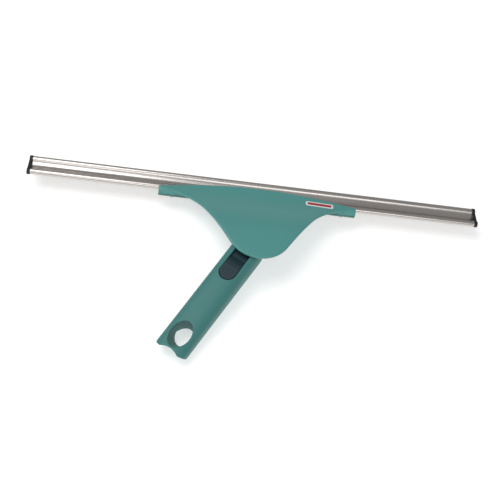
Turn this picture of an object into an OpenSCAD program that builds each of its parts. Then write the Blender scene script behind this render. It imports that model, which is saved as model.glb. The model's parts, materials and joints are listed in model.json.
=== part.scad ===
// Window squeegee with a swivelling click-on handle.
// It lies face up: X runs along the rail, Y from the handle towards the rail, and the floor
// is Z = 0, touched by the tip of the rubber and by the heel of the handle.

/* [Rail] */
// Overall length over both end caps
overall_w = 400; // [300:5:500]
// Thickness of one end cap
cap_t = 3; // [2:0.5:4]
// Height of the caps' bridge over the hollow, above the line from the bead to the nose
cap_bridge = 2; // [1.8:0.1:2.6]
// Radius of the round bead along the rail's rear edge
bead_r = 2.6; // [2.2:0.1:3]
// Bore of the bead, which takes the end caps' pegs
bead_bore_r = 1.3; // [1:0.1:1.6]
// Distance from the swivel axis to the bead's centre
bead_y = 50.3; // [48:0.1:54]
// Height of the bead's centre below the swivel's middle plane
bead_drop = 7.4; // [7:0.1:8]
// Distance from the bead's centre to the nose's centre
nose_span = 15.1; // [14:0.1:18]
// How much lower the nose's centre lies than the bead's
nose_drop = 1.6; // [0.5:0.1:2.5]
// Radius of the rounded nose
nose_r = 3.2; // [2.8:0.1:3.6]
// Radius of the hollow between the bead and the nose
hollow_r = 7; // [6.5:0.1:9]
// Thickness of the web below the hollow
web_t = 1.3; // [1:0.1:2]
// Length of the rubber channel's legs, below the nose's centre
channel_d = 8; // [7:0.5:10]
// Wall of the rubber channel
channel_wall = 1.1; // [0.9:0.1:1.4]
// Forward lean of the rubber, in degrees from the swivel axis
lip_lean = 20; // [5:1:30]
// Thickness of the lip where it leaves the channel
lip_root_t = 2.4; // [2:0.1:2.8]
// Thickness of the lip at its wiping edge
lip_tip_t = 1.4; // [1:0.1:2]

/* [Fan] */
// Radius of the hub's rim
hub_r = 27.6; // [26:0.2:30]
// Angle between the fan's straight flanks and the Y axis
flank_a = 33; // [30:1:36]
// Distance along a flank from the hub to the start of the sweep
flank_run = 42; // [38:1:46]
// Radius of the sweep from the flank to the wing's tip
sweep_r = 58; // [54:1:62]
// Half of the fan's span, from tip to tip
wing_w = 87; // [84:0.2:92]
// Distance from the swivel axis to the middle of the fan's front edge
front_y = 58.8; // [57:0.2:60]
// Distance from the swivel axis to the front edge at the wing's tip
tip_y = 48.3; // [48:0.1:50]
// Height of the hub's crown above the swivel's middle plane
hub_top = 10.9; // [10.6:0.1:12]
// Height of the front edge above the swivel's middle plane
front_top = -4.4; // [-4.6:0.1:-4]
// Fall of the hub's crown towards its rim
hub_crown = 0.5; // [0:0.1:1]
// Thickness of the fan's skin
skin_t = 2.2; // [2:0.1:2.4]
// Thickness of the side walls and the rear plate
wall_t = 2.2; // [1.8:0.1:2.4]
// How far the side walls stand in from the fan's outline
wall_inset = 11.6; // [11:0.1:13]
// Radius of the round jaw bar
jaw_r = 4.4; // [4.2:0.1:5]
// Distance from the bead's centre back to the jaw bar's centre
jaw_back = 4; // [3.8:0.1:4.4]

/* [Swivel] */
// Swing of the handle from straight back, at rest
swing = 30.8; // [0:0.1:50]
// Lean of the handle below the plane of the fan
lean = 8.5; // [7.5:0.1:9]
// Radius of the fan's hollow post, which the knuckle turns on
post_r = 5.5; // [5:0.1:6]
// Radial running clearance of the knuckle on the post
run_gap = 0.05; // [0.03:0.01:0.08]
// Radius of the knuckle's disc
knuckle_r = 13.4; // [13:0.1:13.6]
// Top of the knuckle's disc above the swivel's middle plane
knuckle_top = 5; // [4.6:0.1:5.4]
// Bottom of the knuckle's disc below the swivel's middle plane
knuckle_low = 7.5; // [7.5:0.1:8]
// Depth of the recess for the washers and the screw's flange
recess_d = 4; // [3.8:0.1:4.4]
// Thickness of one friction washer
washer_t = 0.6; // [0.4:0.1:0.8]
// Outer radius of the washers
washer_r = 9.2; // [8.6:0.1:9.6]
// Height of the wave washer, as fitted
wave_h = 1.15; // [1:0.05:1.3]

/* [Handle] */
// Length from the swivel axis to the handle's end
handle_len = 129; // [115:1:160]
// Distance from the swivel axis to the sleeve's mouth
mouth_s = 14; // [14:0.1:16]
// Width of the handle
handle_w = 27; // [26:0.5:32]
// Half the thickness of the handle at its mouth
mouth_h = 12.1; // [11.8:0.1:12.4]
// Half the thickness of the handle at its heel
heel_h = 8.8; // [8.4:0.1:10]
// Length of the rounding at the heel
heel_round = 4; // [3:0.5:6]
// Undercut of the handle's end below its top edge, in degrees
heel_slant = 29; // [0:1:32]
// Depth of the scoop in the heel
scoop_d = 2.6; // [1:0.2:4]
// Radius of the scoop in the heel
scoop_r = 14; // [12:1:20]
// Length of the hanging hole
hole_l = 24.6; // [20:0.2:28]
// Width of the hanging hole
hole_w = 16.6; // [14:0.2:18]
// Distance from the handle's end to the hanging hole's centre
hole_back = 17.2; // [16:0.2:24]
// Slant of the hanging hole's wall on the hub side, in degrees
hole_slant = 6; // [0:1:12]
// Width of the peg that the handle clicks onto
peg_w = 17; // [15:0.5:17]
// Distance from the swivel axis to the peg's tip
peg_end = 58; // [54:1:70]
// Top of the peg above the handle's middle plane
peg_top = 3; // [2.5:0.1:3]
// Bottom of the peg below the handle's middle plane
peg_low = 7; // [6:0.1:7]
// Clearance all round the peg
peg_gap = 0.2; // [0.1:0.05:0.3]

/* [Button] */
// Width of the release button
button_w = 14; // [12:0.5:14.5]
// Distance from the swivel axis to the button's lower end
button_end = 52.8; // [50:0.1:54]
// Distance from the swivel axis to the latch nose
nose_s = 24.6; // [24:0.1:25]
// Distance from the swivel axis to the button's cross pin
pin_s = 37; // [36:0.1:38]
// Height of the cross pin above the handle's middle plane
pin_z = 7.6; // [7.4:0.1:7.8]
// Radius of the cross pin
pin_r = 1; // [0.8:0.1:1.1]
// Gap between the button and the sides of its slot
button_gap = 0.25; // [0.2:0.05:0.4]
// Height of the button's face above the handle's middle plane
button_top = 10.7; // [10.5:0.1:10.8]
// Depth of the latch nose in the peg's notch
latch_d = 1.6; // [1.2:0.1:1.7]
// Outer radius of the button's coil spring
spring_r = 2.2; // [1.8:0.1:2.4]
// Diameter of the spring's wire
spring_wire = 0.5; // [0.4:0.1:0.6]

/* [Fasteners and badge] */
// Radius of a cover screw's head
screw_head_r = 2.2; // [2:0.1:2.4]
// Thickness of a cover screw's head
screw_head_t = 1.4; // [1.2:0.1:1.6]
// Radius of a cover screw's shank
screw_r = 1.1; // [1:0.1:1.2]
// Length of a cover screw's shank
screw_l = 5; // [4.6:0.1:5.2]
// Length of the blank badge
badge_l = 24.6; // [20:0.2:26]
// Width of the blank badge
badge_w = 6; // [5:0.2:6.4]
// Thickness of the blank badge
badge_t = 0.9; // [0.8:0.1:1.2]

/* [Hidden] */
round_fn = 64;
small_fn = 32;
eps = 0.01;

// Heights and places that follow from the sizes above, about the swivel's centre.
heel_s = handle_len - heel_round;
heel_taper = 1.1;
foot_s = handle_len - 2 * heel_h * tan(heel_slant) - scoop_d;
foot_h = heel_h + (heel_s - foot_s) * (mouth_h - heel_h) / (heel_s - mouth_s);
pivot_z = foot_s * sin(lean) + foot_h * cos(lean);
part_z = -bead_drop;
nose_y = bead_y + nose_span;
nose_z = -bead_drop - nose_drop;
lip_end = (pivot_z + nose_z - lip_tip_t / 2 * sin(lip_lean)) / cos(lip_lean);
lip_front = nose_y + lip_end * sin(lip_lean) + lip_tip_t / 2 * cos(lip_lean);
heel_reach = handle_len * cos(lean) * cos(swing) + heel_h * sin(lean) * cos(swing)
  + handle_w * 0.33 * sin(swing);
pivot_y = (heel_reach - lip_front) / 2;
metal_w = overall_w - 2 * cap_t;

// The hollow's centre touches both the bead and the nose.
nose_gap = norm([nose_span, nose_drop]);
hollow_bead = bead_r + hollow_r;
hollow_nose = nose_r + hollow_r;
hollow_run = (pow(hollow_bead, 2) - pow(hollow_nose, 2) + pow(nose_gap, 2)) / (2 * nose_gap);
hollow_rise = sqrt(pow(hollow_bead, 2) - pow(hollow_run, 2));
rail_dir = [nose_span, -nose_drop] / nose_gap;
hollow_c = [bead_y, part_z] + hollow_run * rail_dir + hollow_rise * [-rail_dir[1], rail_dir[0]];
web_lap = 0.06;
leg_half = nose_r - 0.06;

// Rubber and the channel that holds it.
channel_half = leg_half - channel_wall;
rubber_gap = 0.1;
mouth_wall = 1.1;
mouth_half = lip_root_t / 2 + rubber_gap;

// Levels of the rear cover's plate, and the fit of its jaw on the bead.
plate_top = part_z - 1.6;
plate_low = plate_top - wall_t;
groove_r = bead_r + 0.05;
jaw_hook = 1.6;
jaw_wrap = 2;
stop_y = 4.6;
jaw_y = bead_y - jaw_back;

// Cover screws: two behind the hub, two in the flanks, two in the jaw bar.
screw_spots = [[16, 31], [38, 33], [wing_w - 12, jaw_y - 1.7]];
screw_seat_z = plate_low + 1.6;
boss_r = 3;

// Swivel stack, from the fan's seat down to the flanged screw.
rub_gap = 0.03;
seat_top = knuckle_top + rub_gap + washer_t;
recess_z = recess_d - knuckle_low;
stack_rear = recess_z - rub_gap - washer_t;
flange_top = stack_rear - wave_h;
flange_t = 1.8;
flange_r = 8.4;
recess_r = washer_r + 0.3;
seat_r = washer_r + 0.6;
insert_r = 3;
insert_l = 8;
thread_r = 2;
knuckle_room = 0.5;
wave_steps = 48;
wave_plate = 0.4;
front_trim = fan_under(0) - 0.5;

// Button and its slot.
slot_w = button_w + 2 * button_gap;
slot_end = button_end + 0.6;
shelf_z = 5;
spring_s = pin_s + 9;
spring_top = 8.6;
button_low = 7.6;
button_start = nose_s - 2.6;
nose_l = 2.4;
nose_room = 1.2;
pin_l = 21.6;

// Badge.
badge_x = 54.2;
badge_y = 46.6;
badge_turn = -3;
badge_sink = 0.45;
stripe_sink = 0.3;

// ---- helpers ----------------------------------------------------------------

// Points of an arc about c from angle a0 to a1.
function arc(c, r, a0, a1, n) =
  [for (i = [0:n]) let (a = a0 + (a1 - a0) * i / n) c + r * [cos(a), sin(a)]];
function mirrored(points) = [for (i = [len(points) - 1:-1:0]) [-points[i][0], points[i][1]]];
function smooth(t) = t * t * (3 - 2 * t);

// Height of the fan's face, and of its underside, at a distance from the swivel axis.
function fan_top(y) = y < 0 ? hub_top - hub_crown * pow(y / hub_r, 2)
  : hub_top - (hub_top - front_top) * smooth(min(1, y / front_y));
function fan_under(y) = fan_top(max(y, 0)) - skin_t;

// An oval section: w and h are half its width and height, and k sets how square it is.
function oval(w, h, k, n) = [for (i = [0:n - 1]) let (a = 360 * i / n)
  [w * sign(cos(a)) * pow(abs(cos(a)), 2 / k), h * sign(sin(a)) * pow(abs(sin(a)), 2 / k)]];

// Right half of the fan's outline, moved inwards by inset.
function fan_half(inset) = let (
    out = [cos(-flank_a), sin(-flank_a)],
    along = [sin(flank_a), cos(flank_a)],
    c = (hub_r + sweep_r) * out + flank_run * along,
    r = sweep_r + inset,
    front_r = (pow(wing_w, 2) + pow(front_y - tip_y, 2)) / (2 * (front_y - tip_y)),
    tip_a = asin(wing_w / front_r)
  ) concat(
    arc([0, 0], hub_r - inset, -90, -flank_a, 14),
    arc(c, r, 180 - flank_a, acos((wing_w - c[0]) / r), 16),
    arc([0, front_y - front_r], front_r, 90 - tip_a, 90, 12)
  );
module fan_outline(inset = 0) {
  half = fan_half(inset);
  polygon(concat(half, mirrored([for (i = [1:len(half) - 2]) half[i]])));
}

// The whole object stands on its floor; the head's own frame has its origin in the swivel.
module in_head() translate([0, pivot_y, pivot_z]) children();
module in_handle() in_head() rotate([0, 0, -swing]) rotate([lean, 0, 0]) children();
// A flat shape in Y and Z, drawn out along X.
module along_x(w) translate([-w / 2, 0, 0]) rotate([90, 0, 90]) linear_extrude(w) children();
// A flat shape in handle length and height, drawn out across the handle.
module across(w) translate([w / 2, 0, 0]) rotate([90, 0, -90]) linear_extrude(w) children();
module rod_x(r, w, fn = round_fn) translate([-w / 2, 0, 0]) rotate([0, 90, 0])
  cylinder(r = r, h = w, $fn = fn);
module at_bead() translate([0, bead_y, part_z]) children();
module at_screws() for (spot = screw_spots, side = [-1, 1])
  translate([side * spot[0], spot[1], 0]) children();

// ---- rail -------------------------------------------------------------------

// Section of the rail without its bores, in Y and Z, grown outwards by grow.
module rail_section(grow = 0) {
  below = nose_z - 6;
  translate([bead_y, part_z]) circle(r = bead_r + grow, $fn = round_fn);
  translate([nose_y, nose_z]) circle(r = nose_r + grow, $fn = round_fn);
  intersection() {
    difference() {
      translate(hollow_c) circle(r = hollow_r + web_t + grow, $fn = round_fn);
      translate(hollow_c) circle(r = hollow_r + web_lap - grow, $fn = round_fn);
    }
    polygon([hollow_c, [bead_y, part_z], [bead_y, below], [nose_y, below], [nose_y, nose_z]]);
  }
  translate([nose_y, nose_z]) rotate(lip_lean)
    translate([-leg_half - grow, -channel_d - grow]) square([2 * (leg_half + grow), channel_d + grow]);
}
// The pocket and the mouth for the rubber, about the nose's centre.
module rubber_pocket() {
  circle(r = channel_half, $fn = round_fn);
  translate([-channel_half, -channel_d + mouth_wall]) square([2 * channel_half, channel_d - mouth_wall]);
  translate([-mouth_half, -channel_d - 1]) square([2 * mouth_half, channel_d]);
}
module blade_channel() color("silver") in_head() difference() {
  along_x(metal_w) rail_section();
  at_bead() rod_x(bead_bore_r, metal_w + 2);
  along_x(metal_w + 2) translate([nose_y, nose_z]) rotate(lip_lean) rubber_pocket();
}
module rubber_blade() color([0.1, 0.1, 0.1]) in_head() along_x(metal_w)
  translate([nose_y, nose_z]) rotate(lip_lean) {
    circle(r = channel_half - rubber_gap, $fn = round_fn);
    spine_l = channel_d - mouth_wall - rubber_gap;
    translate([-channel_half + rubber_gap, -spine_l]) square([2 * (channel_half - rubber_gap), spine_l]);
    polygon([
      [-lip_root_t / 2, -spine_l + 1], [-lip_root_t / 2, -channel_d - 1], [-lip_tip_t / 2, -lip_end],
      [lip_tip_t / 2, -lip_end], [lip_root_t / 2, -channel_d - 1], [lip_root_t / 2, -spine_l + 1]
    ]);
  }
// The caps' rim stands a little proud of the metal, and a peg fills the bead's bore.
module end_cap(side) color([0.1, 0.1, 0.1]) in_head() {
  cap_proud = 0.3;
  peg_l = 9;
  bridge_low = hollow_r - hollow_rise + web_t / 2;
  translate([side * (metal_w + cap_t) / 2, 0, 0]) along_x(cap_t) {
    rail_section(cap_proud);
    translate([bead_y, part_z]) rotate(atan2(rail_dir[1], rail_dir[0])) translate([0, -bridge_low])
      square([nose_gap, bridge_low + cap_bridge]);
  }
  translate([side * (metal_w / 2 - peg_l / 2 + eps), bead_y, part_z]) rod_x(bead_bore_r, peg_l, small_fn);
}
module left_end_cap() end_cap(-1);
module right_end_cap() end_cap(1);

// ---- covers -----------------------------------------------------------------

// The fan's skin follows one curve from the hub's crown down to the rail.
module fan_skin() {
  steps = 26;
  y0 = -hub_r - 1;
  y1 = front_y + 1;
  ys = [for (i = [0:steps]) y0 + (y1 - y0) * i / steps];
  intersection() {
    translate([0, 0, -30]) linear_extrude(60) fan_outline();
    along_x(2 * wing_w + 2) polygon(concat(
      [for (y = ys) [y, fan_under(y)]], [for (i = [steps:-1:0]) [ys[i], fan_top(ys[i])]]));
  }
}
// Side walls stand in from the outline, and run from the handle's swing to the jaw bar.
function wall_line(inset) = let (
    out = [cos(-flank_a), sin(-flank_a)],
    along = [sin(flank_a), cos(flank_a)],
    c = (hub_r + sweep_r) * out + flank_run * along,
    start = (stop_y + (hub_r - inset) * sin(flank_a)) / cos(flank_a),
    last = 180 - asin((jaw_y - c[1]) / (sweep_r + inset))
  ) concat([(hub_r - inset) * out + start * along], arc(c, sweep_r + inset, 180 - flank_a, last, 12));
module wall_prisms(low, high) {
  outer = wall_line(wall_inset);
  inner = wall_line(wall_inset + wall_t);
  ring = concat(outer, [for (i = [len(inner) - 1:-1:0]) inner[i]]);
  translate([0, 0, low]) {
    linear_extrude(high - low) polygon(ring);
    mirror([1, 0, 0]) linear_extrude(high - low) polygon(ring);
  }
}
module side_walls() intersection() {
  wall_prisms(part_z, part_z + 40);
  steps = 14;
  ys = [for (i = [0:steps]) stop_y - 1 + (jaw_y - stop_y + 2) * i / steps];
  along_x(2 * wing_w) polygon(concat(
    [[ys[0], part_z - 1]], [for (y = ys) [y, fan_under(y) + 0.2]], [[ys[steps], part_z - 1]]));
}
// Half of the jaw bar, above or below the parting plane.
module jaw_bar(up) intersection() {
  translate([0, jaw_y, part_z]) rod_x(jaw_r, 2 * wing_w);
  translate([-wing_w - 1, 0, up ? part_z : part_z - 20]) cube([2 * wing_w + 2, 100, 20]);
}
module bead_groove() at_bead() rod_x(groove_r, 2 * wing_w + 2);
// Screw bosses reach from the parting plane up into the skin, whatever its height there.
module front_cover() color([0.33, 0.58, 0.56]) in_head() difference() {
  union() {
    fan_skin();
    side_walls();
    jaw_bar(true);
    translate([0, 0, seat_top])
      cylinder(r = seat_r, h = fan_under(seat_r) + 0.5 - seat_top, $fn = round_fn);
    translate([0, 0, flange_top + 0.02])
      cylinder(r = post_r, h = fan_under(0) - flange_top, $fn = round_fn);
    for (spot = screw_spots, side = [-1, 1]) translate([side * spot[0], spot[1], part_z])
      cylinder(r = boss_r, h = fan_under(spot[1] + boss_r) + 0.6 - part_z, $fn = small_fn);
  }
  bead_groove();
  translate([0, 0, flange_top - 1]) cylinder(r = insert_r, h = insert_l + 1.5, $fn = round_fn);
  at_screws() translate([0, 0, part_z - 1])
    cylinder(r = screw_r, h = screw_seat_z + screw_l + 0.3 - part_z + 1, $fn = small_fn);
  badge_place() badge_blank(badge_l + 0.2, badge_w + 0.2, 5);
}
module rear_cover() color([0.3, 0.53, 0.51]) in_head() difference() {
  union() {
    translate([0, 0, plate_low]) linear_extrude(wall_t) intersection() {
      fan_outline(wall_inset);
      translate([-60, stop_y]) square([120, jaw_y - stop_y]);
    }
    wall_prisms(plate_top - eps, part_z);
    jaw_bar(false);
    lower_hook();
    at_screws() translate([0, 0, plate_top - eps])
      cylinder(r = boss_r, h = part_z - plate_top + eps, $fn = small_fn);
  }
  bead_groove();
  translate([0, 0, plate_low - 1]) cylinder(r = knuckle_r + knuckle_room, h = 20, $fn = round_fn);
  at_screws() {
    translate([0, 0, plate_low - 5]) cylinder(r = screw_r + 0.2, h = 12, $fn = small_fn);
    translate([0, 0, plate_low - 5])
      cylinder(r = screw_head_r + 0.2, h = screw_seat_z - plate_low + 5, $fn = small_fn);
  }
}
// The lower jaw hooks round under the bead and holds it back.
module lower_hook() intersection() {
  at_bead() rod_x(groove_r + jaw_hook, 2 * wing_w);
  translate([-wing_w, bead_y - jaw_back, part_z - 20]) cube([2 * wing_w, jaw_back + jaw_wrap, 20 - 0.3]);
}
// A pan head with a cross recess, standing on z = 0, head down.
module cross_screw(head_r, head_t, r, l) difference() {
  union() {
    translate([0, 0, -head_t]) cylinder(r = head_r, h = head_t, $fn = small_fn);
    cylinder(r = r, h = l, $fn = small_fn);
  }
  for (turn = [0, 90]) rotate(turn) translate([-head_r * 0.6, -head_r * 0.12, -head_t - 1])
    cube([head_r * 1.2, head_r * 0.24, head_t * 0.6 + 1]);
}
module cover_screws() color("silver") in_head() at_screws()
  translate([0, 0, screw_seat_z]) cross_screw(screw_head_r, screw_head_t, screw_r, screw_l);

// ---- badge ------------------------------------------------------------------

// The badge lies on the fan's face, tilted to its slope there.
module badge_place() {
  slope = atan((fan_top(badge_y + 3) - fan_top(badge_y - 3)) / 6);
  face = (fan_top(badge_y + 3) + fan_top(badge_y - 3)) / 2;
  translate([badge_x, badge_y, face]) rotate([slope, 0, 0]) rotate(badge_turn)
    translate([0, 0, -badge_sink]) children();
}
module badge_blank(l, w, t) {
  r = w * 0.3;
  translate([-l / 2, -w / 2 + r, 0]) cube([l, w - 2 * r, t]);
  translate([-l / 2 + r, -w / 2, 0]) cube([l - 2 * r, w, t]);
  for (x = [-1, 1], y = [-1, 1]) translate([x * (l / 2 - r), y * (w / 2 - r), 0])
    cylinder(r = r, h = t, $fn = small_fn);
}
module badge_plate() color("white") in_head() badge_place() difference() {
  badge_blank(badge_l, badge_w, badge_t);
  translate([0, 0, badge_t - stripe_sink]) badge_blank(badge_l - 3.2, badge_w - 2.6, 2);
}
module badge_stripe() color([0.65, 0.08, 0.1]) in_head() badge_place()
  translate([0, 0, badge_t - stripe_sink]) badge_blank(badge_l - 3.4, badge_w - 2.8, stripe_sink + 0.05);

// ---- swivel -----------------------------------------------------------------

module swivel_screw() color("silver") in_head() translate([0, 0, flange_top])
  cross_screw(flange_r, flange_t, thread_r, insert_l);
module ring(outer, inner, h) difference() {
  cylinder(r = outer, h = h, $fn = round_fn);
  translate([0, 0, -1]) cylinder(r = inner, h = h + 2, $fn = round_fn);
}
module threaded_insert() color("goldenrod") in_head()
  translate([0, 0, flange_top + 0.04]) ring(insert_r, thread_r, insert_l);
module front_friction_washer() color("ivory") in_head()
  translate([0, 0, knuckle_top + rub_gap]) ring(washer_r, post_r + 0.1, washer_t);
module rear_friction_washer() color("ivory") in_head()
  translate([0, 0, stack_rear]) ring(washer_r, post_r + 0.1, washer_t);
// A steel ring bent into three waves, held between the rear washer and its seat.
function wave_rim(r, dz) = let (lift = (wave_h - wave_plate) / 2 - 0.02, middle = stack_rear - wave_h / 2)
  [for (i = [0:wave_steps - 1]) let (a = 360 * i / wave_steps)
    [r * cos(a), r * sin(a), middle + lift * cos(3 * a) + dz]];
module wave_washer() color("silver") in_head() {
  low = -wave_plate / 2;
  top = wave_plate / 2;
  points = concat(wave_rim(post_r + 0.4, low), wave_rim(washer_r - 0.3, low),
    wave_rim(washer_r - 0.3, top), wave_rim(post_r + 0.4, top));
  faces = [for (k = [0:3], i = [0:wave_steps - 1]) let (j = (i + 1) % wave_steps, m = (k + 1) % 4)
    [k * wave_steps + j, m * wave_steps + j, m * wave_steps + i, k * wave_steps + i]];
  polyhedron(points, faces, convexity = 6);
}
// The knuckle turns on the fan's post; its peg leans back and carries the sleeve.
module swivel_knuckle() color([0.13, 0.3, 0.33]) difference() {
  union() {
    in_head() translate([0, 0, -knuckle_low])
      cylinder(r = knuckle_r, h = knuckle_low + knuckle_top, $fn = round_fn);
    in_handle() across(peg_w) difference() {
      polygon([
        [post_r + 3, peg_top], [peg_end - 2, peg_top], [peg_end, peg_top - 2], [peg_end, 2 - peg_low],
        [peg_end - 2, -peg_low], [recess_r + 3, -peg_low], [recess_r + 3, -2], [post_r + 3, -2]
      ]);
      // The nose swings towards the hub as it lifts, so the notch is longer on that side.
      translate([nose_s - nose_room, peg_top - latch_d - 0.2])
        square([nose_room + nose_l + 0.4, latch_d + 1]);
    }
  }
  in_head() translate([0, 0, -20]) cylinder(r = post_r + run_gap, h = 40, $fn = round_fn);
  in_head() translate([0, 0, recess_z - 20]) cylinder(r = recess_r, h = 20, $fn = round_fn);
  for (side = [-1, 1]) in_handle() translate([side * (peg_w / 2 - 4) - 2, -(peg_end - 3), -peg_low - 1])
    cube([4, 28, 5]);
}

// ---- handle -----------------------------------------------------------------

// One thin slice of the sleeve, at distance s from the swivel axis.
module sleeve_slice(s, w, h) translate([0, -s, 0]) rotate([90, 0, 0])
  linear_extrude(eps) polygon(oval(w, h, 2.9, 44));
module sleeve_body() hull() {
  sleeve_slice(mouth_s, handle_w / 2, mouth_h);
  sleeve_slice(heel_s, handle_w / 2, heel_h);
  sleeve_slice(heel_s + heel_round * 0.6, handle_w / 2 - heel_taper * 0.3, heel_h - 0.1);
  sleeve_slice(handle_len - eps, handle_w / 2 - heel_taper, heel_h - 0.4);
}
module handle_sleeve() color([0.29, 0.51, 0.49]) difference() {
  in_handle() sleeve_solid();
  // The mouth fits round the knuckle's disc and passes under the fan.
  in_head() translate([0, 0, -knuckle_low - 0.3]) cylinder(r = knuckle_r + 0.2, h = 20, $fn = round_fn);
  in_head() translate([-50, -50, front_trim]) cube([100, 100, 10]);
}
module sleeve_solid() difference() {
  sleeve_body();
  socket();
  button_slot();
  hanging_hole();
  heel_cut();
  translate([0, -pin_s, pin_z]) rod_x(pin_r, pin_l + 0.1, small_fn);
}
// The hole's near wall runs along the undercut end, and its far wall stands steeper.
module hanging_hole() intersection() {
  hole_prism(hole_slant);
  hole_prism(heel_slant);
}
module hole_prism(slant) translate([0, hole_back - handle_len, heel_h]) rotate([slant, 0, 0])
  translate([0, 0, -40]) linear_extrude(60) polygon(oval(hole_w / 2, hole_l / 2 * cos(slant), 2, 48));
// The end is undercut below its top edge, and scooped out in the middle.
module heel_cut() translate([0, -handle_len, heel_h]) rotate([heel_slant, 0, 0]) {
  translate([-handle_w, -50, -60]) cube([2 * handle_w, 50, 80]);
  translate([0, scoop_d - scoop_r, -60]) cylinder(r = scoop_r, h = 80, $fn = round_fn);
}
// The peg's socket runs on into a narrower core, which keeps the walls even.
module socket() {
  core_end = handle_len - hole_back - hole_l / 2 - 5;
  translate([-peg_w / 2 - peg_gap, -peg_end - 1, -peg_low - peg_gap])
    cube([peg_w + 2 * peg_gap, peg_end + 1 - mouth_s + 5, peg_low + peg_top + 2 * peg_gap]);
  translate([-6, -core_end, -4.5]) cube([12, core_end - peg_end, 7.5]);
}
module button_slot() {
  r = slot_w / 2;
  translate([0, -slot_end + r, shelf_z]) cylinder(r = r, h = 20, $fn = round_fn);
  translate([-r, -slot_end + r, shelf_z]) cube([slot_w, slot_end - r - mouth_s + 5, 20]);
  translate([-r, -(spring_s - 5), peg_top]) cube([slot_w, spring_s - 5 - mouth_s + 5, 20]);
}
// A rocker: pressing the ribbed end sinks it and lifts the nose out of the peg's notch.
module release_button() color([0.13, 0.3, 0.34]) in_handle() difference() {
  intersection() {
    across(button_w) polygon([
      [button_start, 7], [30, 7.7], [pin_s - 1, button_top - 0.6], [pin_s + 3, button_top],
      [button_end + 1, button_top - 0.2], [button_end + 1, button_low + 0.5], [pin_s + 3, button_low],
      [pin_s + 2, pin_z - 2], [pin_s - 2.5, pin_z - 2],
      [nose_s + nose_l + 0.2, 5.2], [nose_s + nose_l, peg_top - latch_d], [nose_s, peg_top - latch_d],
      [nose_s - 0.1, 5.2], [button_start, 5.2]
    ]);
    union() {
      translate([0, -button_end + button_w / 2, 0]) cylinder(r = button_w / 2, h = 20, $fn = round_fn);
      translate([-button_w / 2, -button_end + button_w / 2, 0])
        cube([button_w, button_end - button_w / 2, 20]);
    }
  }
  translate([0, -pin_s, pin_z]) rod_x(pin_r + run_gap, button_w + 2, small_fn);
  translate([0, -spring_s, button_low - 1])
    cylinder(r = spring_r + 0.3, h = 1 + spring_top - button_low, $fn = small_fn);
  for (i = [0:3]) translate([0, -(spring_s - 3 + 2 * i), button_top + 0.25])
    rod_x(0.55, button_w - 5 - i, small_fn);
}
module button_pivot_pin() color("silver") in_handle()
  translate([0, -pin_s, pin_z]) rod_x(pin_r, pin_l, small_fn);
// A coil spring between the shelf of the sleeve and the pocket under the button.
module button_spring() color("silver") in_handle()
  translate([0, -spring_s, shelf_z + spring_wire / 2 + 0.02]) {
  turns = 4;
  per_turn = 16;
  sides = 6;
  steps = turns * per_turn;
  mean_r = spring_r - spring_wire / 2;
  rise = spring_top - shelf_z - spring_wire - 0.04;
  points = [for (i = [0:steps], k = [0:sides - 1]) let (
      a = 360 * i / per_turn, b = 360 * k / sides, r = mean_r + spring_wire / 2 * cos(b))
    [r * cos(a), r * sin(a), rise * i / steps + spring_wire / 2 * sin(b)]];
  walls = [for (i = [0:steps - 1], k = [0:sides - 1]) let (m = (k + 1) % sides)
    [i * sides + k, i * sides + m, (i + 1) * sides + m, (i + 1) * sides + k]];
  first = [[for (k = [sides - 1:-1:0]) k]];
  last = [[for (k = [0:sides - 1]) steps * sides + k]];
  polyhedron(points, concat(walls, first, last), convexity = 8);
}

// ---- the assembly -------------------------------------------------------------

blade_channel();
rubber_blade();
left_end_cap();
right_end_cap();
front_cover();
rear_cover();
cover_screws();
badge_plate();
badge_stripe();
swivel_screw();
threaded_insert();
front_friction_washer();
rear_friction_washer();
wave_washer();
swivel_knuckle();
handle_sleeve();
release_button();
button_pivot_pin();
button_spring();
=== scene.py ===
"""Window squeegee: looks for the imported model, in metres, in the model's own frame."""
import json
import math

import bmesh
import bpy
from mathutils import Matrix, Vector


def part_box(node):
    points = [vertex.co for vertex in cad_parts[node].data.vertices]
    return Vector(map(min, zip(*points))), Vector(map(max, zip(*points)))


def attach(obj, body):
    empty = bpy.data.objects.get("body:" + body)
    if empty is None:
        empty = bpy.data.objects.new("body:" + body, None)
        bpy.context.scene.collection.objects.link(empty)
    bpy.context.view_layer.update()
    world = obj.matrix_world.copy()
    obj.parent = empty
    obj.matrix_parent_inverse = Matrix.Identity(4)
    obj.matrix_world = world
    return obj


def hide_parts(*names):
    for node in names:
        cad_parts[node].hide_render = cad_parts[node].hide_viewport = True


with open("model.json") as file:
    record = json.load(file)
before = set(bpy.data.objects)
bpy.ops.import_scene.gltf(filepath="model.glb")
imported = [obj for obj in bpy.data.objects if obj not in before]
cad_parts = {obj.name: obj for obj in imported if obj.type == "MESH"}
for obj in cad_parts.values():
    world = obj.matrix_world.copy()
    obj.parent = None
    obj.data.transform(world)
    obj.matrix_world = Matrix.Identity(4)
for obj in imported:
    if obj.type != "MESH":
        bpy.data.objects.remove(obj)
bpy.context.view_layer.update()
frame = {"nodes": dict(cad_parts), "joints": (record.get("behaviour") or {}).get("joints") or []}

MM = 0.001
joints = {j["name"]: j for j in frame["joints"]}
pivot = Vector(joints["head_swivel"]["pos_m"])
across = Vector(joints["button_rocker"]["axis"])
swing = math.atan2(-across.y, across.x)
lean = math.radians(8.5)

# Local frames in millimetres: the head's has its origin in the swivel, and the handle's also leans back.
HEAD = Matrix.Translation(pivot) @ Matrix.Scale(MM, 4)
HANDLE = HEAD @ Matrix.Rotation(-swing, 4, "Z") @ Matrix.Rotation(lean, 4, "X")

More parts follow.
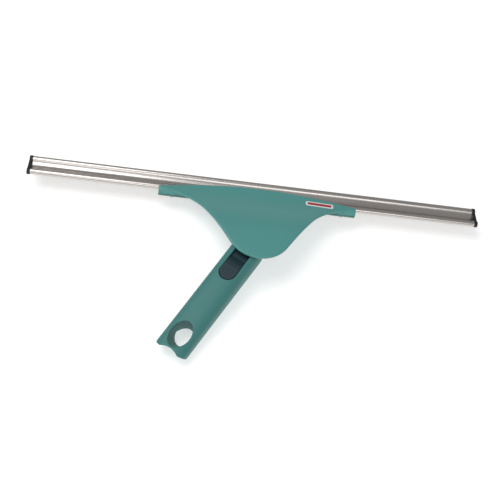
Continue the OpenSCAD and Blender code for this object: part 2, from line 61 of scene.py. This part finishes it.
# ---- sizes in millimetres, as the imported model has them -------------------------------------

rail_half = 197.0
bead = (50.3, -7.4, 2.6)
nose = (65.4, -9.0, 3.2)
hollow_r = 7.0
web_t = 1.3
leg_len = 8.0
lip_lean = math.radians(20)

hub_r = 27.6
flank_a = math.radians(33)
flank_run = 42.0
sweep_r = 58.0
wing_w = 87.0
front_y = 58.8
tip_y = 48.3
hub_top = 10.9
front_top = -4.4
hub_crown = 0.5
skin_t = 2.2

handle_len = 129.0
mouth_s = 14.0
handle_w = 27.0
mouth_h = 12.1
heel_h = 8.8
heel_s = 125.0
heel_slant = math.radians(29)
hole_slant = math.radians(6)
scoop_r = 14.0
scoop_d = 2.6
hole_half_w = 8.3
hole_half_l = 12.3
hole_back = 17.2
socket_half = 8.7
socket_end = 59.0
socket_low = -7.2
socket_top = 3.2
slot_r = 7.25
slot_end = 53.4
slot_shelf = 5.0
latch_room_end = 41.0
knuckle_room_r = 13.6
knuckle_room_low = -7.8
fan_room_low = 8.2


# ---- materials ------------------------------------------------------------------------------

def linear(code):
    """An sRGB hex colour as linear red, green, blue and alpha."""
    parts = [int(code[i:i + 2], 16) / 255 for i in (1, 3, 5)]
    return [c / 12.92 if c <= 0.04045 else ((c + 0.055) / 1.055) ** 2.4 for c in parts] + [1.0]


def add(tree, kind, settings=None, links=None):
    """Adds a node. Settings are its properties and its sockets' values, and links feed its sockets."""
    made = tree.nodes.new(kind)
    for key, value in (settings or {}).items():
        if isinstance(key, str) and hasattr(made, key):
            setattr(made, key, value)
        else:
            made.inputs[key].default_value = value
    for key, source in (links or {}).items():
        tree.links.new(source, made.inputs[key])
    return made


def begin(name, colour, roughness, metallic=0.0):
    """A new material, with its tree, its shader and its coordinates."""
    material = bpy.data.materials.new(name)
    material.use_nodes = True
    tree = material.node_tree
    shader = tree.nodes["Principled BSDF"]
    shader.inputs["Base Color"].default_value = linear(colour)
    shader.inputs["Roughness"].default_value = roughness
    shader.inputs["Metallic"].default_value = metallic
    place = add(tree, "ShaderNodeTexCoord").outputs["Object"]
    return material, tree, shader, place


def per_mm(size):
    """The noise scale in metres whose features are this many millimetres across."""
    return 1000 / size


def vary(tree, shader, socket, factor, low, high):
    """Ramps a 0 to 1 factor between two colours or two numbers, into one of the shader's sockets."""
    if isinstance(low, str):
        colours = {"data_type": "RGBA", 6: linear(low), 7: linear(high)}
        mix = add(tree, "ShaderNodeMix", colours, {0: factor})
        tree.links.new(mix.outputs[2], shader.inputs[socket])
    else:
        spread = add(tree, "ShaderNodeMapRange", {"To Min": low, "To Max": high}, {"Value": factor})
        tree.links.new(spread.outputs["Result"], shader.inputs[socket])


def bump(tree, shader, height, strength, depth):
    """Raises the surface by the height, depth millimetres at most."""
    raised = add(tree, "ShaderNodeBump", {"Strength": strength, "Distance": depth * MM}, {"Height": height})
    tree.links.new(raised.outputs["Normal"], shader.inputs["Normal"])


def moulded_plastic(name, dark, light, roughness, grain=0.5, depth=0.02):
    """Injection-moulded ABS: an even dyed colour that drifts a little with the flow of the melt, and a
    fine spark-eroded grain that spreads the highlight into a soft sheen."""
    material, tree, shader, place = begin(name, light, roughness)
    shader.inputs["IOR"].default_value = 1.5
    flow = add(tree, "ShaderNodeTexNoise", {"Scale": per_mm(38), "Detail": 3.0}, {"Vector": place})
    vary(tree, shader, "Base Color", flow.outputs["Fac"], dark, light)
    fine = add(tree, "ShaderNodeTexNoise", {"Scale": per_mm(grain), "Detail": 2.0}, {"Vector": place})
    vary(tree, shader, "Roughness", fine.outputs["Fac"], roughness - 0.05, roughness + 0.06)
    bump(tree, shader, fine.outputs["Fac"], 0.35, depth)
    return material


def drawn_metal(name, colour, roughness, stretch, line=0.35, depth=0.006, contrast=0.1):
    """Drawn or rolled metal: fine lines along the direction it was pulled in, which break the
    highlight into faint lengthwise streaks. stretch gives the lines' scale along X, Y and Z."""
    material, tree, shader, place = begin(name, colour, roughness, 1.0)
    turned = add(tree, "ShaderNodeMapping", {"Scale": stretch}, {"Vector": place})
    lines = add(tree, "ShaderNodeTexNoise", {"Scale": per_mm(line), "Detail": 4.0, "Roughness": 0.6},
                {"Vector": turned.outputs["Vector"]})
    vary(tree, shader, "Roughness", lines.outputs["Fac"], roughness - contrast, roughness + contrast)
    bump(tree, shader, lines.outputs["Fac"], 0.3, depth)
    return material


def rubber(name):
    """Carbon-black natural rubber: nearly black, matt, with a dusty bloom in patches."""
    material, tree, shader, place = begin(name, "#1C1B1A", 0.6)
    bloom = add(tree, "ShaderNodeTexNoise", {"Scale": per_mm(9), "Detail": 5.0}, {"Vector": place})
    vary(tree, shader, "Base Color", bloom.outputs["Fac"], "#161514", "#262524")
    vary(tree, shader, "Roughness", bloom.outputs["Fac"], 0.52, 0.7)
    fine = add(tree, "ShaderNodeTexNoise", {"Scale": per_mm(0.6), "Detail": 2.0}, {"Vector": place})
    bump(tree, shader, fine.outputs["Fac"], 0.25, 0.02)
    return material


def printed_gloss(name, dark, light):
    """Pad-printed lacquer on plastic: an even colour under a smooth, slightly rippled gloss."""
    material, tree, shader, place = begin(name, light, 0.25)
    shader.inputs["Coat Weight"].default_value = 0.4
    ripple = add(tree, "ShaderNodeTexNoise", {"Scale": per_mm(1.6), "Detail": 1.0}, {"Vector": place})
    vary(tree, shader, "Base Color", ripple.outputs["Fac"], dark, light)
    bump(tree, shader, ripple.outputs["Fac"], 0.15, 0.02)
    return material


teal_abs = moulded_plastic("teal_moulded_abs", "#4B8D89", "#50948F", 0.42)
grip_abs = moulded_plastic("teal_grip_abs", "#397672", "#3F7D79", 0.55)
rear_abs = moulded_plastic("teal_rear_abs", "#41756F", "#477B76", 0.45)
petrol_abs = moulded_plastic("petrol_moulded_abs", "#08272F", "#0C2F38", 0.58, grain=0.4)
cap_plastic = moulded_plastic("black_cap_plastic", "#0E0D0D", "#171615", 0.55, grain=0.4)
nylon = moulded_plastic("natural_nylon", "#DDD9CC", "#E8E5DA", 0.42)
lip_rubber = rubber("black_natural_rubber")
badge_white = printed_gloss("white_printed_lacquer", "#DDDCD8", "#ECEBE8")
badge_red = printed_gloss("red_printed_lacquer", "#931F24", "#A52328")
rail_steel = drawn_metal("drawn_rail_metal", "#C6C0BB", 0.27, (0.012, 1.0, 1.0))
zinc_steel = drawn_metal("zinc_plated_steel", "#B9BABC", 0.34, (1.0, 1.0, 0.2), line=0.5)
spring_steel = drawn_metal("spring_steel_wire", "#A6A6A8", 0.3, (1.0, 1.0, 1.0), line=0.3)
brass = drawn_metal("turned_brass", "#C39A55", 0.3, (1.0, 1.0, 6.0), line=0.5)


# ---- mesh helpers ---------------------------------------------------------------------------

def as_object(bm, name="solid"):
    """A scratch object holding the mesh, in millimetres."""
    bmesh.ops.recalc_face_normals(bm, faces=bm.faces)
    mesh = bpy.data.meshes.new(name)
    bm.to_mesh(mesh)
    bm.free()
    made = bpy.data.objects.new(name, mesh)
    bpy.context.scene.collection.objects.link(made)
    return made


def applied(made):
    """Replaces the object's mesh by what its modifiers make of it."""
    graph = bpy.context.evaluated_depsgraph_get()
    mesh = bpy.data.meshes.new_from_object(made.evaluated_get(graph))
    made.modifiers.clear()
    made.data = mesh
    return made


def combine(base, others, operation):
    """Joins the others to the base or cuts them out of it, and removes them."""
    for other in others:
        step = base.modifiers.new("combine", "BOOLEAN")
        step.operation = operation
        step.solver = "EXACT"
        step.object = other
        applied(base)
        bpy.data.objects.remove(other)
    return base


def soften(made, voxel, rounds):
    """Evens the mesh out and rounds its edges, as a mould's own radii do."""
    even = made.modifiers.new("even", "REMESH")
    even.mode = "VOXEL"
    even.voxel_size = voxel
    smooth = made.modifiers.new("smooth", "SMOOTH")
    smooth.factor = 0.5
    smooth.iterations = rounds
    return applied(made)


def piece(made, name, place, material, body, replaces=None, crease=35):
    """Puts a finished solid in its place in metres, shades it, and has it ride on its body."""
    made.name = name
    made.data.name = name
    made.data.transform(place)
    made.data.materials.clear()
    made.data.materials.append(material)
    for face in made.data.polygons:
        face.material_index = 0
    made.data.shade_smooth()
    made.data.set_sharp_from_angle(angle=math.radians(crease))
    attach(made, body)
    if replaces:
        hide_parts(replaces)
    return made


def copy_of(node, place):
    """The CAD node's shape, merged and in the local millimetres of place."""
    bm = bmesh.new()
    bm.from_mesh(frame["nodes"][node].data)
    bmesh.ops.remove_doubles(bm, verts=bm.verts, dist=1e-6)
    bmesh.ops.transform(bm, matrix=place.inverted(), verts=bm.verts)
    return as_object(bm, node + "_copy")


def trace(bm, start, path):
    """Draws an outline in Y and Z from start: a step is a point, or an arc as (centre, degrees, steps)."""
    tip = bm.verts.new((0, *start))
    for step in path:
        if len(step) == 2:
            new = bmesh.ops.extrude_vert_indiv(bm, verts=[tip])["verts"][0]
            new.co = (0, *step)
            tip = new
        else:
            centre, degrees, steps = step
            spun = bmesh.ops.spin(bm, geom=[tip], cent=(0, *centre[:2]), axis=(1, 0, 0),
                                  angle=math.radians(degrees), steps=steps)
            tip = [v for v in spun["geom_last"] if isinstance(v, bmesh.types.BMVert)][0]
    bmesh.ops.remove_doubles(bm, verts=bm.verts, dist=1e-4)


def drawn_out(bm, half):
    """Fills the outline and draws it out along X to both sides."""
    bmesh.ops.holes_fill(bm, edges=bm.edges)
    bmesh.ops.translate(bm, verts=bm.verts, vec=(-half, 0, 0))
    grown = bmesh.ops.extrude_face_region(bm, geom=bm.faces[:])["geom"]
    moved = [g for g in grown if isinstance(g, bmesh.types.BMVert)]
    bmesh.ops.translate(bm, verts=moved, vec=(2 * half, 0, 0))
    return bm


def rod(radius, low, high, segments=96):
    """An upright cylinder about the Z axis, from low to high."""
    bm = bmesh.new()
    bmesh.ops.create_cone(bm, cap_ends=True, segments=segments, radius1=radius, radius2=radius,
                          depth=high - low)
    bmesh.ops.translate(bm, verts=bm.verts, vec=(0, 0, (low + high) / 2))
    return bm


def block(low, high):
    """A box between two corners."""
    bm = bmesh.new()
    bmesh.ops.create_cube(bm, size=1)
    size = Vector(high) - Vector(low)
    bmesh.ops.scale(bm, verts=bm.verts, vec=size)
    bmesh.ops.translate(bm, verts=bm.verts, vec=Vector(low) + size / 2)
    return bm


def placed(bm, matrix, name="cutter"):
    """A scratch object of the mesh, moved by a matrix."""
    bmesh.ops.transform(bm, matrix=matrix, verts=bm.verts)
    return as_object(bm, name)


# ---- rail and rubber ------------------------------------------------------------------------

def polar(centre, radius, angle):
    """The point at an angle on a circle."""
    return (centre[0] + radius * math.cos(angle), centre[1] + radius * math.sin(angle))


def hollow_centre():
    """The centre of the hollow's arc, which touches the bead and the nose."""
    span = math.hypot(nose[0] - bead[0], nose[1] - bead[1])
    to_bead, to_nose = bead[2] + hollow_r, nose[2] + hollow_r
    run = (to_bead ** 2 - to_nose ** 2 + span ** 2) / (2 * span)
    return polar(bead, to_bead, math.atan2(nose[1] - bead[1], nose[0] - bead[0]) + math.acos(run / to_bead))


def meet(centre, radius, other, other_radius):
    """The angle at centre between the other centre and the point where the two circles cross."""
    gap = math.dist(centre[:2], other[:2])
    return math.acos((gap ** 2 + radius ** 2 - other_radius ** 2) / (2 * gap * radius))


def in_leg(side, down):
    """A point in the rubber's channel: side of its middle and down from the nose's centre."""
    return (nose[0] + side * math.cos(lip_lean) + down * math.sin(lip_lean),
            nose[1] + side * math.sin(lip_lean) - down * math.cos(lip_lean))


def rail():
    """The drawn rail: a round bead, a hollow face and a round nose with the rubber's channel under it."""
    middle = hollow_centre()
    bead_up = math.atan2(middle[1] - bead[1], middle[0] - bead[0])
    nose_up = math.atan2(middle[1] - nose[1], middle[0] - nose[0])
    web_nose = nose_up + meet(nose, nose[2], middle, hollow_r + web_t)
    web_bead = bead_up - meet(bead, bead[2], middle, hollow_r + web_t)
    start = polar(bead, bead[2], bead_up)
    web_from = math.atan2(nose[1] + nose[2] * math.sin(web_nose) - middle[1],
                          nose[0] + nose[2] * math.cos(web_nose) - middle[0])
    web_to = math.atan2(bead[1] + bead[2] * math.sin(web_bead) - middle[1],
                        bead[0] + bead[2] * math.cos(web_bead) - middle[0])
    pocket, mouth, lip = 2.04, 1.3, 1.1
    bm = bmesh.new()
    trace(bm, start, [
        (middle, math.degrees(nose_up - bead_up), 48),
        (nose, math.degrees(lip_lean - nose_up), 40),
        in_leg(nose[2], leg_len), in_leg(mouth, leg_len), in_leg(mouth, leg_len - lip),
        in_leg(pocket, leg_len - lip), in_leg(pocket, 0),
        (nose, 180, 24),
        in_leg(-pocket, leg_len - lip), in_leg(-mouth, leg_len - lip), in_leg(-mouth, leg_len),
        in_leg(-nose[2], leg_len), in_leg(-nose[2], 0),
        (nose, math.degrees(web_nose - math.pi - lip_lean), 8),
        (middle, math.degrees(web_to - web_from), 40),
        (bead, math.degrees(bead_up - web_bead) - 360, 80),
    ])
    drawn_out(bm, rail_half)
    long_edges = [e for e in bm.edges if len(e.link_faces) == 2 and e.calc_length() > rail_half
                  and e.calc_face_angle(0) > math.radians(50)]
    bmesh.ops.bevel(bm, geom=long_edges, offset=0.18, segments=2, profile=0.5, affect="EDGES", material=-1)
    return piece(as_object(bm), "drawn_rail", HEAD, rail_steel, "head", "blade_channel")


def rubber_lip():
    """The rubber: a head held in the channel, a neck in its mouth, and a lip that thins to its edge."""
    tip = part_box("rubber_blade")[0].z - pivot.z
    lip_end = (nose[1] - tip / MM - 0.7 * math.sin(lip_lean)) / math.cos(lip_lean)
    bm = bmesh.new()
    trace(bm, in_leg(1.9, 1), [
        in_leg(1.9, 6.8), in_leg(1.2, 6.8), in_leg(1.2, 9), in_leg(0.8, 14), in_leg(0.7, lip_end),
        in_leg(-0.7, lip_end), in_leg(-0.8, 14), in_leg(-1.2, 9), in_leg(-1.2, 6.8),
        in_leg(-1.9, 6.8), in_leg(-1.9, 1), in_leg(1.9, 1),
    ])
    drawn_out(bm, rail_half - 0.02)
    edges = [e for e in bm.edges if e.calc_length() > rail_half and e.calc_face_angle(0) > math.radians(50)]
    bmesh.ops.bevel(bm, geom=edges, offset=0.12, segments=2, profile=0.5, affect="EDGES", material=-1)
    return piece(as_object(bm), "squeegee_lip", HEAD, lip_rubber, "head", "rubber_blade")


# ---- fan ------------------------------------------------------------------------------------

def fan_low(x):
    """The rear edge of the fan at a distance from its middle: hub, straight flank, then sweep."""
    x = abs(x)
    out = Vector((math.cos(flank_a), -math.sin(flank_a)))
    along = Vector((math.sin(flank_a), math.cos(flank_a)))
    flank_start = hub_r * out
    flank_end = flank_start + flank_run * along
    if x < flank_start.x:
        return -math.sqrt(hub_r ** 2 - x ** 2)
    if x < flank_end.x:
        return flank_start.y + (x - flank_start.x) / math.tan(flank_a)
    centre = (hub_r + sweep_r) * out + flank_run * along
    return centre.y + math.sqrt(sweep_r ** 2 - (x - centre.x) ** 2)


def fan_high(x):
    """The fan's front edge, one long arc."""
    radius = (wing_w ** 2 + (front_y - tip_y) ** 2) / (2 * (front_y - tip_y))
    return front_y - radius + math.sqrt(radius ** 2 - x ** 2)


def fan_top(y):
    """The height of the fan's face, from the hub's crown down to the rail."""
    if y < 0:
        return hub_top - hub_crown * (y / hub_r) ** 2
    t = min(1, y / front_y)
    return hub_top - (hub_top - front_top) * t * t * (3 - 2 * t)


def fan_skin():
    """The fan's face as a closed skin: a grid laid into the outline and given its thickness."""
    rim, roll = 4.0, 0.5
    bm = bmesh.new()
    bmesh.ops.create_grid(bm, x_segments=172, y_segments=60, size=1)
    for v in bm.verts:
        x, t = v.co.x * wing_w, (v.co.y + 1) / 2
        low, high = fan_low(x), fan_high(x)
        slope = 0.1
        if abs(x) < wing_w - 0.3:
            slope = (fan_low(abs(x) + 0.2) - fan_low(max(0, abs(x) - 0.2))) / 0.4
        y = low + t * (high - low)
        inside = (y - low) / math.hypot(1, slope)
        v.co = (x, y, fan_top(y) - roll * max(0, 1 - inside / rim) ** 2 + 0.06)
    bmesh.ops.solidify(bm, geom=bm.faces[:], thickness=skin_t)
    top = max(v.co.z for v in bm.verts)
    if top > hub_top + 0.5:
        bmesh.ops.translate(bm, verts=bm.verts, vec=(0, 0, -skin_t))
    return as_object(bm, "skin")


def joined(base, other):
    """One object holding both shells, which the even remesh then fuses."""
    bm = bmesh.new()
    bm.from_mesh(base.data)
    bm.from_mesh(other.data)
    bpy.data.objects.remove(other)
    bm.to_mesh(base.data)
    bm.free()
    return base


def front_shell():
    """The fan cover, its face laid over the model's own jaw bars and post."""
    whole = joined(copy_of("front_cover", HEAD), fan_skin())
    soften(whole, 0.55, 7)
    return piece(whole, "fan_shell", HEAD, teal_abs, "head", "front_cover", crease=60)


# ---- handle ---------------------------------------------------------------------------------

def grip_body():
    """The sleeve's outside: an oval ring drawn back along the handle and rounded off at the heel."""
    squareness = 2 / 2.9
    stations = [(mouth_s, handle_w / 2, mouth_h), (heel_s - 2, handle_w / 2, heel_h)]
    stations += [(heel_s - 2 + (handle_len - heel_s + 2) * a / 6, handle_w / 2 - 1.3 * (a / 6) ** 2,
                  heel_h - 0.4 * (a / 6) ** 2) for a in range(1, 7)]
    bm = bmesh.new()
    rings = []
    for s, w, h in stations:
        ring = bmesh.ops.create_circle(bm, segments=160, radius=1)["verts"]
        for v in ring:
            c, d = v.co.x, v.co.y
            v.co = (w * math.copysign(abs(c) ** squareness, c), -s,
                    h * math.copysign(abs(d) ** squareness, d))
        rings.append(ring)
    for one, two in zip(rings, rings[1:]):
        both = set(one) | set(two)
        edges = [e for e in bm.edges if set(e.verts) <= set(one) or set(e.verts) <= set(two)]
        bmesh.ops.bridge_loops(bm, edges=[e for e in edges if set(e.verts) <= both])
    for end in (rings[0], rings[-1]):
        bmesh.ops.contextual_create(bm, geom=[e for e in bm.edges if set(e.verts) <= set(end)])
    return as_object(bm, "grip")


def heel_frame(back, slant):
    """A frame on the handle's face, this far back from its end, that leans under by the slant."""
    return Matrix.Translation((0, back - handle_len, heel_h)) @ Matrix.Rotation(slant, 4, "X")


def hanging_hole():
    """An oval hole whose near wall runs along the undercut end and whose far wall stands steeper."""
    walls = []
    for slant in (hole_slant, heel_slant):
        bm = rod(1, -40, 20, 128)
        bmesh.ops.scale(bm, verts=bm.verts, vec=(hole_half_w, hole_half_l * math.cos(slant), 1))
        walls.append(placed(bm, heel_frame(hole_back, slant)))
    return combine(walls[0], walls[1:], "INTERSECT")


def sleeve():
    """The sleeve with its socket, hole, undercut and scooped end, button slot, and room for the knuckle
    and the fan."""
    to_head = (Matrix.Rotation(-swing, 4, "Z") @ Matrix.Rotation(lean, 4, "X")).inverted()
    cutters = [
        as_object(block((-socket_half, -socket_end, socket_low), (socket_half, -5, socket_top))),
        hanging_hole(),
        placed(block((-30, -50, -60), (30, 0, 20)), heel_frame(0, heel_slant)),
        placed(rod(scoop_r, -60, 20, 160),
               heel_frame(0, heel_slant) @ Matrix.Translation((0, scoop_d - scoop_r, 0))),
        placed(rod(slot_r, slot_shelf, 20), Matrix.Translation((0, slot_r - slot_end, 0))),
        as_object(block((-slot_r, slot_r - slot_end, slot_shelf), (slot_r, -5, 20))),
        as_object(block((-slot_r, -latch_room_end, socket_top - 0.1), (slot_r, -5, 20))),
        placed(rod(knuckle_room_r, knuckle_room_low, 20, 128), to_head),
        placed(block((-50, -50, fan_room_low), (50, 50, 20)), to_head),
    ]
    body = combine(grip_body(), cutters, "DIFFERENCE")
    soften(body, 0.42, 6)
    return piece(body, "grip_sleeve", HANDLE, grip_abs, "handle", "handle_sleeve",
                 crease=60)


# ---- the pieces that take their moulded shape from the model ------------------------------------

def rounded(node, place, voxel, rounds, name, material, body):
    """The model's own shape with a mould's small radii on every edge."""
    made = soften(copy_of(node, place), voxel, rounds)
    return piece(made, name, place, material, body, node, crease=60)


rail()
rubber_lip()
front_shell()
sleeve()
rounded("left_end_cap", HEAD, 0.2, 5, "left_rail_cap", cap_plastic, "head")
rounded("right_end_cap", HEAD, 0.2, 5, "right_rail_cap", cap_plastic, "head")
rounded("rear_cover", HEAD, 0.5, 4, "lower_jaw_cover", rear_abs, "head")
rounded("badge_plate", HEAD, 0.14, 4, "blank_badge", badge_white, "head")
rounded("badge_stripe", HEAD, 0.12, 4, "red_stripe", badge_red, "head")
rounded("swivel_knuckle", HANDLE, 0.4, 4, "knuckle_and_peg", petrol_abs, "handle")
rounded("release_button", HANDLE, 0.2, 4, "rocker_button", petrol_abs, "button")

carried = {
    "cover_screws": zinc_steel, "swivel_screw": zinc_steel, "threaded_insert": brass,
    "front_friction_washer": nylon, "rear_friction_washer": nylon, "wave_washer": spring_steel,
    "button_pivot_pin": zinc_steel, "button_spring": spring_steel,
}
for node_name, finish in carried.items():
    slots = frame["nodes"][node_name].data.materials
    slots.clear()
    slots.append(finish)


# ---- floor, light and camera ------------------------------------------------------------------

def pale_floor():
    """A matt studio board, off-white and lit faintly from below, which keeps the shadows pale."""
    material, tree, shader, place = begin("pale_studio_board", "#E4E4E3", 0.85)
    mottle = add(tree, "ShaderNodeTexNoise", {"Scale": per_mm(60), "Detail": 2.0}, {"Vector": place})
    vary(tree, shader, "Base Color", mottle.outputs["Fac"], "#E3E3E2", "#E5E5E4")
    shader.inputs["Emission Color"].default_value = (1, 1, 1, 1)
    shader.inputs["Emission Strength"].default_value = 0.5
    bm = bmesh.new()
    bmesh.ops.create_grid(bm, x_segments=1, y_segments=1, size=2.0)
    mesh = bpy.data.meshes.new("studio_floor")
    bm.to_mesh(mesh)
    bm.free()
    mesh.materials.append(material)
    board = bpy.data.objects.new("studio_floor", mesh)
    bpy.context.scene.collection.objects.link(board)


def soft_light(name, place, aim, size, watts, length=None):
    """A soft box facing the aim."""
    data = bpy.data.lights.new(name, "AREA")
    data.shape = "RECTANGLE"
    data.size = size
    data.size_y = length or size
    data.energy = watts
    box = bpy.data.objects.new(name, data)
    box.location = place
    box.rotation_euler = (Vector(aim) - Vector(place)).to_track_quat("-Z", "Y").to_euler()
    bpy.context.scene.collection.objects.link(box)


def camera():
    """The view from above the handle's side, a little left and rolled a little."""
    azimuth, elevation, roll = (math.radians(a) for a in (-9.92, 51.24, 14.3))
    distance, focal, sensor, frame_px = 0.760, 906.76, 36.0, 500
    out = Vector((math.sin(azimuth) * math.cos(elevation), -math.cos(azimuth) * math.cos(elevation),
                  math.sin(elevation)))
    side = Vector((math.cos(azimuth), math.sin(azimuth), 0))
    up = out.cross(side)
    right = math.cos(roll) * side + math.sin(roll) * up
    upward = math.cos(roll) * up - math.sin(roll) * side
    data = bpy.data.cameras.new("view")
    data.sensor_width = sensor
    data.lens = focal / frame_px * sensor
    data.shift_x = -0.0157
    data.shift_y = -0.0236
    eye = bpy.data.objects.new("view", data)
    turned = Matrix((right, upward, out)).transposed().to_4x4()
    eye.matrix_world = Matrix.Translation(pivot + distance * out) @ turned
    bpy.context.scene.collection.objects.link(eye)
    bpy.context.scene.camera = eye


pale_floor()
soft_light("overhead_left", (-0.55, 0.1, 1.2), (-0.05, 0.03, 0), 0.9, 9.5)
soft_light("camera_side", (0.1, -1.3, 1.1), (0, 0, 0), 1.3, 7, 0.8)
camera()

scene = bpy.context.scene
scene.view_settings.view_transform = "Standard"
world = bpy.data.worlds.new("studio")
scene.world = world
world.use_nodes = True
world.node_tree.nodes["Background"].inputs["Color"].default_value = (0.75, 0.76, 0.78, 1)
world.node_tree.nodes["Background"].inputs["Strength"].default_value = 0.42
